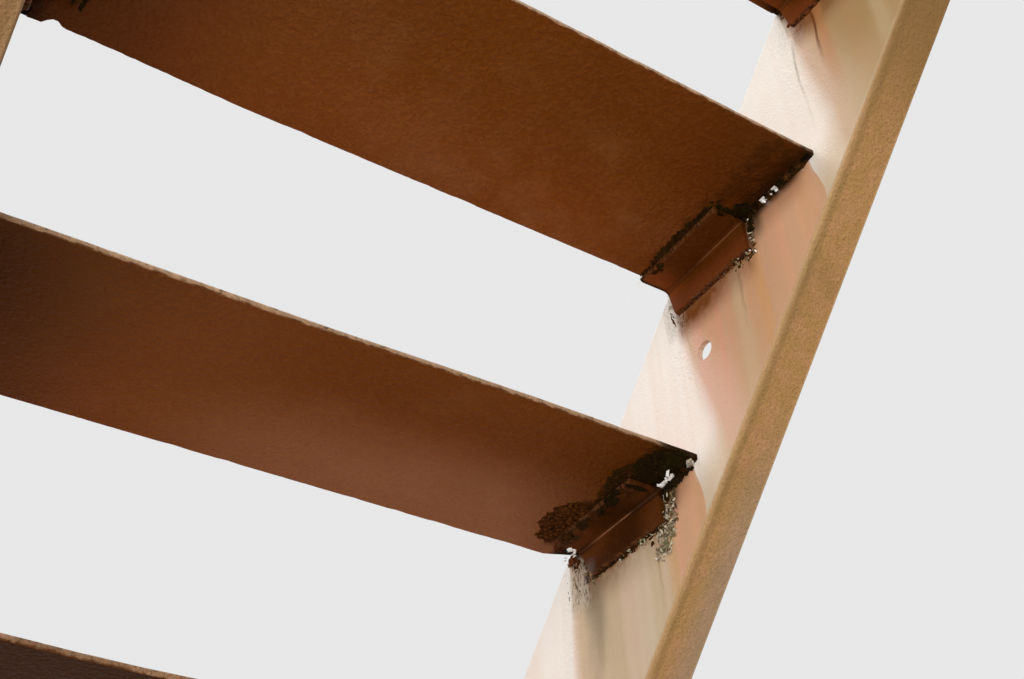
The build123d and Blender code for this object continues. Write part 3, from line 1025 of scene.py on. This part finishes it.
def crust_finish():
    """Rust scale: near-black hollows, dark brown flanks and drier tops, redder by its tone."""
    material, shader, place = finish_named("rust_crust")
    warm = stored(place, "tone")
    worn = mottle(place, 320.0, 3.0, 0.6) * 0.7 + stored(place, "height") - 0.30
    scale = coat(rise_between(worn, 0.34, 0.58), srgb(20, 8, 0), srgb(72, 38, 8))
    scale = coat(rise_between(worn, 0.60, 0.88), scale, srgb(120, 72, 32))
    flat = coat(rise_between(worn, 0.34, 0.70), srgb(16, 9, 0), srgb(40, 26, 4))
    flat = coat(rise_between(worn, 0.74, 0.92), flat, srgb(88, 62, 28))
    tinge = rise_between(mottle(place, 38.0, 3.0), 0.46, 0.60) * 0.5
    flat = coat(tinge, flat, srgb(36, 34, 6))
    paint = coat(rise_between(warm, 0.1, 0.65), flat, scale)
    red = coat(rise_between(worn, 0.4, 0.9), srgb(78, 34, 8), srgb(132, 74, 38))
    paint = coat(rise_between(warm, 0.80, 0.92), paint, red)
    feed(shader.inputs["Base Color"], paint)
    shader.inputs["Roughness"].default_value = 0.9
    shader.inputs["Specular IOR Level"].default_value = 0.06
    feed(shader.inputs["Normal"], emboss(mottle(place, 900.0, 2.0), 0.5, 0.0005))
    return material


def place_piece(name, mesh, finish, side):
    """Turn a bmesh drawn on the left side into a finished piece of the flight."""
    if side == "right":
        bmesh.ops.scale(mesh, vec=(-1, 1, 1), verts=mesh.verts)
    bmesh.ops.recalc_face_normals(mesh, faces=mesh.faces)
    piece = new_object(name, mesh, finish)
    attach(piece, "root")


crust_scale = crust_finish()
for side in CLEAT_RUST:
    for step in range(1, STEPS + 1):
        measured = side == "left" and step in SOFFIT_SPOTS
        spot_lists = seeded_spots(side, step)
        if measured:
            spot_lists = (SOFFIT_SPOTS[step], LEG_SPOTS[step], [*WEB_SPOTS[step], *heap_spots(step)])
        cell = FINE_CELL if measured else COARSE_CELL
        lump = WORST_LUMP if step == WORST_TREAD else LUMP
        crust = toned_mesh()
        thickness = WORST_THICKNESS if measured and step == WORST_TREAD else CRUST_THICKNESS
        for seat, spots, thick in zip(seats(step, CLEAT_THICKNESS), spot_lists, thickness):
            openings = OPENINGS.get((side, step), ()) if seat[2][2] < 0 else ()
            grow_crust(crust, seat, spots, cell, lump, thick, step + len(side), openings)
        place_piece(f"rust_crust_{side}_{step}", crust, crust_scale, side)

# Dirt and paint that have clogged the narrow gap between each tread's ends and
# the webs, like a ragged fillet. It has dropped out in places, and daylight
# shows through there.
GAP_CELLS = (150, 9)
# Where the dirt starts behind the front edge, further back at an eaten corner.
GAP_STARTS = {("left", 6): 0.015}
GAP_START = 0.0015
DIRT_BACK = 0.0010
DIRT_LAP = 0.0035
DIRT_SUNK = 0.0006


def gap_dirt(side, step):
    """The ragged fillet of dirt along one end of a tread, drawn on the left side."""
    low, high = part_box(f"tread_{step}")
    plate_end = WEB_FACE - high.x
    depth = high.y - low.y
    draw = random.Random(step * 17 + len(side))
    places = [draw.uniform(0.01, depth - 0.02) for _ in range(3)]
    fallen = [(spot, spot + draw.uniform(0.002, 0.009)) for spot in places]
    openings = OPENINGS.get((side, step), fallen)
    begin = GAP_STARTS.get((side, step), GAP_START)
    dirt = toned_mesh()
    tall = dirt.verts.layers.float["height"]
    warm = dirt.verts.layers.float["tone"]
    columns, rows = GAP_CELLS
    strip = bmesh.ops.create_grid(dirt, x_segments=columns, y_segments=rows, size=0.5)["verts"]
    gone = []
    for vert in strip:
        along = begin + (vert.co.x + 0.5) * (depth - begin - 0.0005)
        inwards = (vert.co.y + 0.5) * (plate_end + DIRT_LAP) - DIRT_SUNK
        spot = Vector((along, inwards, step * 2.3 + len(side)))
        rough = noise.noise(spot * 120) + 0.6 * noise.noise(spot * 420)
        climb = max(0.0, 1 - inwards / (plate_end + 0.002))
        taper = min(1.0, (along - begin) / 0.010, (depth - along) / 0.016)
        hang = 0.0003 + 0.0034 * climb ** 2 * (0.9 + 0.7 * rough) * taper + 0.0004 * rough
        if inwards > plate_end + 0.0022:
            hang = -0.0004
        ragged = 0.0016 * noise.noise(spot * 500)
        if inwards > 0.0002 and any(first + ragged < along < last + ragged for first, last in openings):
            gone.append(vert)
            continue
        vert.co = Vector((-WEB_FACE + inwards, low.y + along, low.z - hang))
        vert[tall] = 0.45 + 0.4 * rough
        vert[warm] = 0.35
    bmesh.ops.delete(dirt, geom=gone, context="VERTS")
    part_corners(dirt, dirt.verts[:])
    give_back(dirt, dirt.faces[:], (0, 0, DIRT_BACK))
    return dirt


# Where paint has filled a gap to the plate's full thickness, as start and end
# behind the front edge. The other treads have one plug at the rear.
PLUGS = {
    ("left", 6): ((0.189, 0.202), (0.214, 0.2185)),
    ("left", 7): ((0.1535, 0.1575), (0.169, 0.219)),
}
PLUG_LENGTH = 0.030
PLUG_CUTS = 5
PLUG_LAP = 0.0012
PLUG_SHORT = 0.0004
PLUG_WAVE = 0.0007


def gap_plugs(side, step):
    """The paint plugs in one of a tread's end gaps, drawn on the left side."""
    low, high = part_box(f"tread_{step}")
    depth = high.y - low.y
    gap = WEB_FACE - high.x
    plugs = bmesh.new()
    for first, last in PLUGS.get((side, step), ((depth - PLUG_LENGTH, depth),)):
        start = len(plugs.verts)
        grown = bmesh.ops.create_cube(plugs, size=1.0)["verts"]
        edges = list({edge for vert in grown for edge in vert.link_edges})
        bmesh.ops.subdivide_edges(plugs, edges=edges, cuts=PLUG_CUTS, use_grid_fill=True)
        plugs.verts.ensure_lookup_table()
        for vert in plugs.verts[start:]:
            share = vert.co.copy()
            vert.co.x = -WEB_FACE + gap / 2 + share.x * (gap + PLUG_LAP)
            vert.co.y = low.y + (first + last) / 2 + share.y * (last - first)
            vert.co.z = (low.z + high.z) / 2 + share.z * (PLATE - PLUG_SHORT)
            shift = PLUG_WAVE * noise.noise(vert.co * 300)
            vert.co.y += shift
            vert.co.z += 0.5 * shift
    return plugs


for side in CLEAT_RUST:
    for step in range(1, STEPS + 1):
        place_piece(f"gap_dirt_{side}_{step}", gap_dirt(side, step), crust_scale, side)
        place_piece(f"gap_plugs_{side}_{step}", gap_plugs(side, step), plate_paint, side)

# Weld beads. Each cleat's hanging leg is welded to the web along its foot with
# a stick-welded fillet, whose ripples have rusted into knobs under the paint.
BEAD_CELLS = (110, 5)
BEAD_PITCH = 0.0085
BEAD_BACK = 0.0004


def weld_bead(side, step):
    """The rippled fillet under one cleat's foot, drawn on the left side."""
    low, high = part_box(f"cleat_{side}_{step}")
    rust = CLEAT_RUST[side][step - 1]
    crop = CLEAT_CROPS[side][step % len(CLEAT_CROPS[side])]
    start = low.y + crop
    length = high.y - start
    bead = bmesh.new()
    tall = bead.verts.layers.float.new("height")
    columns, rows = BEAD_CELLS
    strip = bmesh.ops.create_grid(bead, x_segments=columns, y_segments=rows, size=0.5)["verts"]
    for vert in strip:
        share = vert.co.x + 0.5
        along = share * length
        turn = (vert.co.y + 0.5) * math.pi / 2
        uneven = noise.noise(Vector((along * 90, step * 3.7, len(side))))
        knob = 0.5 + 0.5 * math.cos(2 * math.pi * (along / BEAD_PITCH + 1.1 * uneven))
        fine = noise.noise(Vector((along * 500, turn * 2.0, step)))
        size = 0.0009 + 0.0016 * knob ** 1.4 * (0.6 + 1.1 * uneven) + 0.0007 * fine * (0.5 + rust)
        size *= min(1.0, 8 * share, 8 * (1 - share)) + 0.05
        out = Vector((math.cos(turn), 0, -math.sin(turn))) * size
        vert.co = Vector((-WEB_FACE, start + along, low.z)) + out
        vert[tall] = 0.15 + 0.55 * knob
    give_back(bead, bead.faces[:], (-BEAD_BACK, 0, BEAD_BACK))
    return bead


def bead_finish():
    """Painted weld: dark red-brown with bare rusty knobs."""
    material, shader, place = finish_named("weld_bead")
    knobs = mottle(place, 260.0, 3.0, 0.6) * 0.5 + stored(place, "height")
    skin = coat(rise_between(knobs, 0.35, 0.95), srgb(52, 25, 2), srgb(100, 52, 20))
    x, y, _ = split(place)
    rusted = rise_between(by_cleat(x, step_at(y), CLEAT_RUST), 0.6, 1.0)
    skin = coat(rusted * 0.85, skin, srgb(34, 20, 2))
    feed(shader.inputs["Base Color"], skin)
    shader.inputs["Roughness"].default_value = 0.8
    shader.inputs["Specular IOR Level"].default_value = 0.08
    return material


rusty_bead = bead_finish()
for side in CLEAT_RUST:
    for step in range(1, STEPS + 1):
        place_piece(f"weld_bead_{side}_{step}", weld_bead(side, step), rusty_bead, side)

# Loose paint. Thick old paint has lifted from the web beside the worst cleats
# in small curled, dirty cream flakes, which still hang on by one edge.
FLAKE_CELLS = 3
FLAKE_FILM = 0.0003
FLAKE_SIZES = (0.0014, 0.0036)
FLAKE_LIFTS = (0.0004, 0.0030)
# How far the flakes and the chips tumble at random, in radians.
FLAKE_TUMBLE = 0.6
CHIP_TUMBLE = 0.3
ON_WEB = Vector((1, 0, 0))
HANGING = Vector((0.6, 0.6, -0.5))
# Areas of flakes on the left side: tread, middle behind its front edge and
# below its underside, half-lengths along both, the number of flakes, and how
# clean they are, 0 to 1.
FLAKE_AREAS = (
    (6, 0.172, 0.021, 0.007, 0.010, 24, 0.1), (6, 0.167, 0.038, 0.013, 0.010, 74, 0.1),
    (6, 0.162, 0.052, 0.013, 0.009, 88, 0.3), (6, 0.156, 0.067, 0.011, 0.008, 50, 0.15),
    (6, 0.150, 0.040, 0.012, 0.003, 14, 0.1), (6, 0.019, 0.030, 0.012, 0.020, 16, 0.2),
    (6, 0.110, 0.0405, 0.030, 0.002, 14, 0.0), (6, 0.060, 0.0450, 0.030, 0.002, 6, 0.0),
    (7, 0.118, 0.041, 0.009, 0.007, 11, 0.0), (7, 0.124, 0.028, 0.003, 0.008, 5, 0.0),
    (7, 0.090, 0.0415, 0.012, 0.002, 5, 0.0), (7, -0.006, 0.026, 0.002, 0.012, 8, 0.3),
)
# Single clean chips that hang at the corners and in the end gaps; the white
# ones also stand for daylight glinting through the gaps, as painted light:
# distance behind the front edge, in from the web and below the underside,
# size, and how clean, 0 to 1.
CHIPS_AND_GLINTS = {
    6: (
        (0.0298, 0.0200, 0.0064, 0.0056, 1.0), (0.0292, 0.0164, 0.0064, 0.0042, 1.0),
        (0.0290, 0.0132, 0.0064, 0.0054, 1.0), (0.0107, 0.0120, 0.0045, 0.0026, 1.0),
        (0.0050, 0.0090, 0.0045, 0.0024, 1.0), (0.1705, 0.0088, 0.0045, 0.0046, 1.0),
        (0.1765, 0.0092, 0.0045, 0.0036, 1.0), (0.1812, 0.0098, 0.0045, 0.0036, 1.0),
        (0.1867, 0.0086, 0.0045, 0.0036, 1.0), (0.1905, 0.0150, 0.0045, 0.0044, 1.0),
        (0.2170, 0.0094, 0.0040, 0.0046, 0.86), (0.2120, 0.0040, 0.0040, 0.0044, 0.84),
        (0.2150, 0.0070, 0.0042, 0.0036, 0.9),
    ),
    7: (
        (0.1511, 0.0047, 0.0045, 0.0030, 1.0), (0.1619, 0.0046, 0.0045, 0.0018, 1.0),
        (0.1683, 0.0032, 0.0045, 0.0026, 1.0), (0.1247, 0.0030, 0.0060, 0.0018, 1.0),
        (0.1252, 0.0020, 0.0490, 0.0020, 1.0), (-0.0055, 0.0405, 0.0062, 0.0020, 1.0),
        (-0.0058, 0.0024, 0.0062, 0.0018, 1.0),
    ),
}


def add_flake(mesh, place, facing, tumble, size, lift, shade, draw):
    """One small curled flake with an uneven outline, facing about one way."""
    grid = bmesh.ops.create_grid(mesh, x_segments=FLAKE_CELLS, y_segments=FLAKE_CELLS, size=0.5)
    flake = grid["verts"]
    turn = Matrix.Rotation(draw.uniform(0, 2 * math.pi), 4, "Z")
    tilt = Matrix.Rotation(draw.gauss(0, tumble), 4, "X")
    tilt = tilt @ Matrix.Rotation(draw.gauss(0, tumble), 4, "Y")
    stand = facing.to_track_quat("Z", "Y").to_matrix().to_4x4()
    length = size * draw.uniform(1.0, 2.0)
    width = size * draw.uniform(0.45, 0.8)
    curl = draw.uniform(0.2, 0.5)
    tall = mesh.verts.layers.float["height"]
    for vert in flake:
        x = (vert.co.x + draw.uniform(-0.3, 0.3) / FLAKE_CELLS) * length
        y = (vert.co.y + draw.uniform(-0.3, 0.3) / FLAKE_CELLS) * width
        bend = curl * (vert.co.x ** 2 + 0.5 * vert.co.y ** 2) * size + lift
        vert.co = place + stand @ tilt @ turn @ Vector((x, y, bend))
        vert[tall] = 0.3 + 0.7 * shade
    faces = list({face for vert in flake for face in vert.link_faces})
    give_back(mesh, faces, stand @ tilt @ Vector((0, 0, -FLAKE_FILM)))


def flake_finish():
    """Old paint film: dirty cream, some of it green with algae, some rusty, and near white where it
    stands for glints of daylight.
    """
    material, shader, place = finish_named("loose_paint")
    shade = stored(place, "height")
    film = coat(rise_between(shade, 0.40, 0.56), srgb(40, 28, 10), srgb(128, 108, 76))
    film = coat(rise_between(shade, 0.58, 0.80), film, srgb(206, 192, 166))
    film = coat(rise_between(shade, 0.90, 0.94), film, srgb(244, 238, 226))
    # The cleanest chips are near white: clean paint and painted glints of daylight.
    clean = rise_between(shade, 0.97, 0.99)
    mucky = 1.0 - clean
    film = coat(clean, film, srgb(255, 252, 246))
    algae = rise_between(mottle(place, 34.0, 2.0, 0.5), 0.46, 0.60) * 0.45 * mucky
    film = coat(algae, film, srgb(150, 152, 110))
    dirty = rise_between(mottle(place, 260.0, 3.0, 0.6), 0.46, 0.60) * 0.7 * mucky
    film = coat(dirty, film, srgb(92, 66, 38))
    feed(shader.inputs["Base Color"], film)
    shader.inputs["Roughness"].default_value = 0.8
    shader.inputs["Specular IOR Level"].default_value = 0.2
    return material


# Under the flakes the film has crazed into small lumps with dark cracks: spots
# on the web, as distance behind the front edge and below the underside.
CRAZED_SPOTS = {
    6: (
        (0.172, 0.028, 0.004, 0.007, 0.7), (0.172, 0.042, 0.006, 0.008, 0.7),
        (0.166, 0.052, 0.008, 0.007, 0.7), (0.157, 0.046, 0.006, 0.004, 0.7),
        (0.156, 0.064, 0.006, 0.006, 0.7),
    ),
    7: ((0.124, 0.027, 0.002, 0.006, 0.7),),
}
CRAZED_LUMP = 0.0028
CRAZED_THICKNESS = 0.0024

old_film = flake_finish()
flakes_by_step = {}
for step, *area in FLAKE_AREAS:
    flakes_by_step.setdefault(step, []).append(area)
for step, areas in flakes_by_step.items():
    draw = random.Random(step)
    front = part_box(f"tread_{step}")[0]
    flakes = toned_mesh()
    for middle, below, half_along, half_down, count, clean in areas:
        for _ in range(count):
            along = middle + half_along * draw.uniform(-1, 1)
            down = below + half_down * draw.uniform(-1, 1)
            spot = Vector((-WEB_FACE, front.y + along, front.z - down))
            shade = clean + (0.94 - clean) * draw.random()
            facing = ON_WEB.lerp(HANGING, 0.9 * draw.random())
            size = draw.uniform(*FLAKE_SIZES)
            lift = draw.uniform(*FLAKE_LIFTS)
            add_flake(flakes, spot, facing, FLAKE_TUMBLE, size, lift, shade, draw)
    for behind, inwards, below, size, clean in CHIPS_AND_GLINTS[step]:
        spot = Vector((-WEB_FACE + inwards, front.y + behind, front.z - below))
        add_flake(flakes, spot, HANGING, CHIP_TUMBLE, size, 0.0, clean, draw)
    web = seats(step, CLEAT_THICKNESS)[2]
    grow_crust(flakes, web, CRAZED_SPOTS[step], FINE_CELL, CRAZED_LUMP, CRAZED_THICKNESS, step)
    place_piece(f"loose_paint_left_{step}", flakes, old_film, "left")

# Sole angle and head clips. Plain rolled angles in the stringers' salmon paint:
# one ties the two feet and takes the floor anchors, the others bolt the heads
# to the landing.
repaint(("sole_angle", "head_clip_left", "head_clip_right"), salmon_paint)

# Floor. A plain pale sheet that takes the shadow. Well away from the flight it
# is seen as bright as the room behind it, so that no horizon shows.
FLOOR_HALF = 30.0
# How far from the flight's foot the floor starts to look like the room, and
# where it does fully.
FLOOR_FADE = (2.2, 5.5)
ROOM_SEEN = 0.92
ROOM_COLOUR = srgb(240, 240, 240)


def seen_share(nodes):
    """1 where the camera, gloss or glass looks straight at a surface, else 0."""
    path = nodes.new("ShaderNodeLightPath").outputs
    seen = Field(path["Is Camera Ray"]) + Field(path["Is Glossy Ray"])
    return smaller(seen + Field(path["Is Transmission Ray"]), 1.0)


def pale_sheet():
    """The floor's finish: plain near the flight, and as bright as the room far off."""
    material, shader, place = finish_named("floor_pale")
    shader.inputs["Base Color"].default_value = srgb(226, 226, 223)
    shader.inputs["Roughness"].default_value = 0.8
    away = new_node(place, "ShaderNodeVectorMath")
    away.operation = "LENGTH"
    feed(away.inputs[0], place)
    far = rise_between(Field(away.outputs["Value"]), *FLOOR_FADE)
    glow = new_node(place, "ShaderNodeEmission")
    glow.inputs["Color"].default_value = ROOM_COLOUR
    glow.inputs["Strength"].default_value = ROOM_SEEN
    merged = new_node(place, "ShaderNodeMixShader")
    nodes = material.node_tree.nodes
    feed(merged.inputs[0], far * seen_share(nodes))
    feed(merged.inputs[1], Field(shader.outputs["BSDF"]))
    feed(merged.inputs[2], Field(glow.outputs["Emission"]))
    feed(nodes["Material Output"].inputs["Surface"], Field(merged.outputs["Shader"]))
    return material


floor_mesh = bmesh.new()
bmesh.ops.create_grid(floor_mesh, x_segments=1, y_segments=1, size=FLOOR_HALF)
floor = new_object("floor", floor_mesh, pale_sheet())

# Studio light. An even pale room, which the camera, gloss and glass see a
# little brighter than it lights, and soft boxes behind, above and in front.
ROOM_LIGHT = 0.45
world = bpy.data.worlds.new("studio")
bpy.context.scene.world = world
world.use_nodes = True
room = world.node_tree.nodes
room["Background"].inputs["Color"].default_value = ROOM_COLOUR
room_strength = seen_share(room) * (ROOM_SEEN - ROOM_LIGHT) + ROOM_LIGHT
feed(room["Background"].inputs["Strength"], room_strength)


def soft_box(name, place, aim, size, watts):
    """A square soft box at a place, turned to its aim."""
    lamp_data = bpy.data.lights.new(name, "AREA")
    lamp_data.energy = watts
    lamp_data.size = size
    lamp = bpy.data.objects.new(name, lamp_data)
    lamp.location = place
    lamp.rotation_mode = "QUATERNION"
    lamp.rotation_quaternion = (Vector(aim) - Vector(place)).to_track_quat("-Z", "Y")
    bpy.context.collection.objects.link(lamp)


soft_box("behind", (3.2, 4.3, 1.0), (-0.2, 1.3, 1.3), 2.6, 138)
soft_box("above", (0.4, 0.4, 4.6), (0, 1.0, 1.0), 2.2, 80)
soft_box("front", (-2.0, -3.2, 3.0), (0, 1.0, 1.0), 2.0, 50)

# Camera. Behind the flight and low, looking up between the stringers.
CAMERA_AT = Vector((0.34215, 2.0427, 0.6295))
CAMERA_LOOK = Vector((-0.42254, -0.64111, 0.64065))
CAMERA_ROLL = math.radians(-2.376)
SENSOR_WIDTH = 36
FOCAL_LENGTH = 43.612
camera_data = bpy.data.cameras.new("camera")
camera_data.sensor_width = SENSOR_WIDTH
camera_data.lens = FOCAL_LENGTH
camera = bpy.data.objects.new("camera", camera_data)
camera.location = CAMERA_AT
camera.rotation_mode = "QUATERNION"
aimed = CAMERA_LOOK.to_track_quat("-Z", "Y")
camera.rotation_quaternion = aimed @ Quaternion((0, 0, 1), CAMERA_ROLL)
bpy.context.collection.objects.link(camera)
bpy.context.scene.camera = camera
bpy.context.scene.view_settings.view_transform = "Standard"
